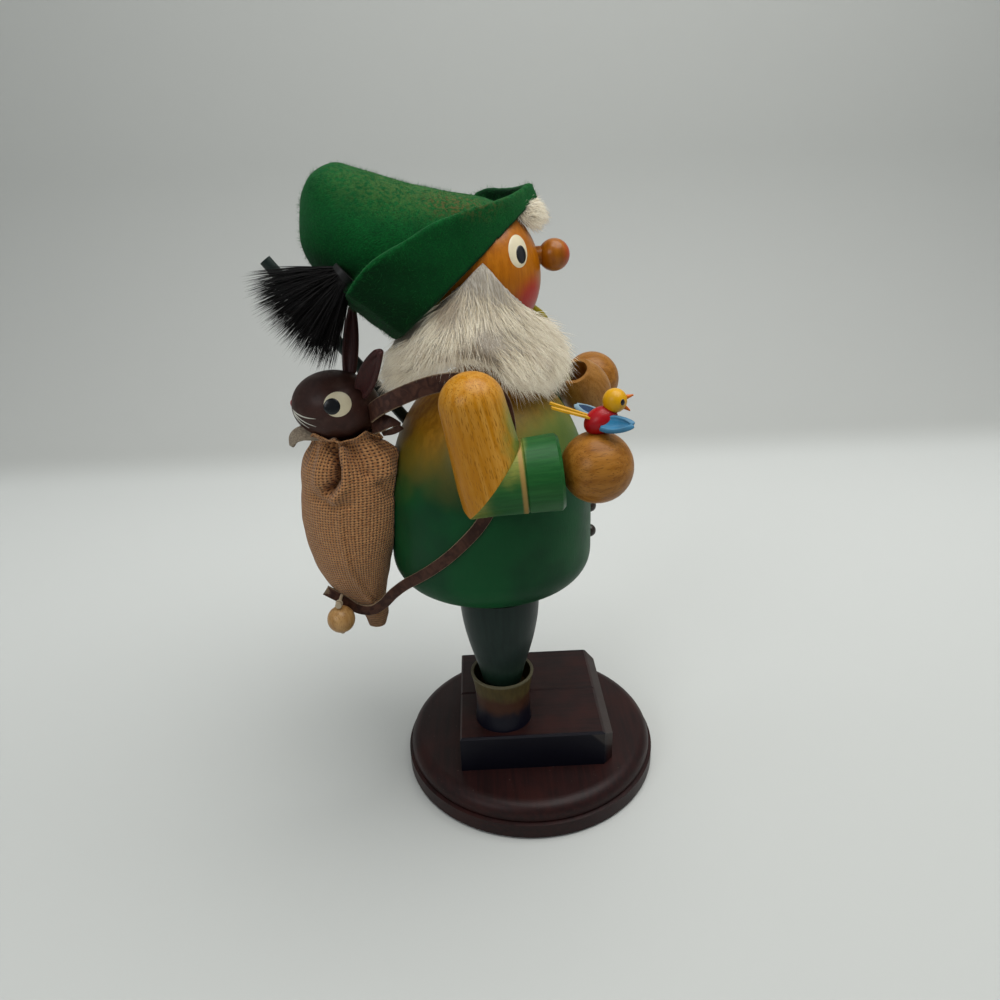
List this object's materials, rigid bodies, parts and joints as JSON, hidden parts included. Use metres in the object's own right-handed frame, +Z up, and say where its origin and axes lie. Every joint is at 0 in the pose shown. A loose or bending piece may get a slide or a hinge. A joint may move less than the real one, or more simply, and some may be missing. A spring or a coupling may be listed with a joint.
{
  "type": "incense smoker figure",
  "caption": "Turned wooden incense smoker: a bearded hunter on a round base, with a felt hat, a pipe and a hare in a sack; the hollow body lifts off its plug.",
  "frame": {"origin": "centre of the base disc's underside", "axes": "+Z up; the figure faces -Y; its right side is -X"},
  "size_m": [0.111, 0.1366, 0.2261],
  "materials": {
    "stained_base": "dark cherry stain under satin lacquer",
    "boot_paint": "olive stain fading to blue-black, satin lacquer",
    "leg_green": "blue-green stain, satin lacquer",
    "bare_beech": "bare",
    "tin": "pressed tin",
    "brass": "plain",
    "coat_green": "green stain fading to bare wood, satin lacquer",
    "button_black": "gloss paint",
    "face_wood": "tinted lacquer",
    "sleeve_beech": "clear satin lacquer",
    "sleeve_green": "sprayed green fading to beech, satin lacquer",
    "hand_beech": "clear satin lacquer",
    "fur_white": "fur",
    "felt_green": "felt",
    "bristle_black": "bristle",
    "barrel_black": "satin paint",
    "bowl_wood": "satin lacquer",
    "stem_olive": "satin lacquer",
    "bird_red": "gloss paint",
    "bird_yellow": "gloss paint",
    "bird_blue": "gloss paint",
    "hare_brown": "satin stain",
    "ear_brown": "dull",
    "hare_nose_red": "gloss paint",
    "burlap": "open plain weave",
    "strap_leather": "smooth side out",
    "suede": "suede",
    "bead_wood": "satin lacquer",
    "thread": "waxed thread"
  },
  "bodies": {
    "base": {"base_disc": "stained_base", "shoe_right": "stained_base", "shoe_left": "stained_base", "boot_right": "boot_paint", "boot_left": "boot_paint", "leg_right": "leg_green", "leg_left": "leg_green", "hip_block": "bare_beech", "incense_tray": "tin", "tray_tack": "brass"},
    "figure": {"body_shell": "coat_green", "coat_button_low": "button_black", "coat_button_middle": "button_black", "coat_button_top": "button_black", "head": "face_wood", "nose": "face_wood", "upper_arm_right": "sleeve_beech", "upper_arm_left": "sleeve_beech", "forearm_right": "sleeve_green", "forearm_left": "sleeve_green", "hand_right": "hand_beech", "hand_left": "hand_beech", "arm_dowel_right": "bare_beech", "arm_dowel_left": "bare_beech", "wrist_dowel_right": "bare_beech", "wrist_dowel_left": "bare_beech", "pipe_bowl": "bowl_wood", "bowl_peg": "bare_beech", "pipe_stem": "stem_olive", "bird_body": "bird_red", "bird_head": "bird_yellow", "bird_beak": "bird_red", "bird_wing_right": "bird_blue", "bird_wing_left": "bird_blue", "bird_tail": "bird_yellow", "bird_peg": "bare_beech", "hare_head": "hare_brown", "hare_nose": "hare_nose_red", "hare_ear_right": "ear_brown", "hare_ear_left": "ear_brown", "strap": "strap_leather", "sack": "burlap", "gun_barrel": "barrel_black", "hat_crown": "felt_green", "hat_brim": "felt_green", "forelock": "fur_white", "beard": "fur_white", "hat_tuft": "bristle_black", "tuft_ferrule": "tin", "strap_tongue": "suede", "strap_knot": "strap_leather", "thread_tie": "thread"},
    "bead": {"bead": "bead_wood", "bead_thread": "thread"}
  },
  "joints": [
    {"name": "body_lift", "type": "slide", "parent": "base", "child": "figure", "axis": [0, 0, 1], "range_m": [0, 0.06]},
    {"name": "bead_swing", "type": "hinge", "parent": "figure", "child": "bead", "pos_m": [-0.02063, 0.0676, 0.08422], "axis": [1, 0, 0], "range_deg": [-20, 20]}
  ]
}
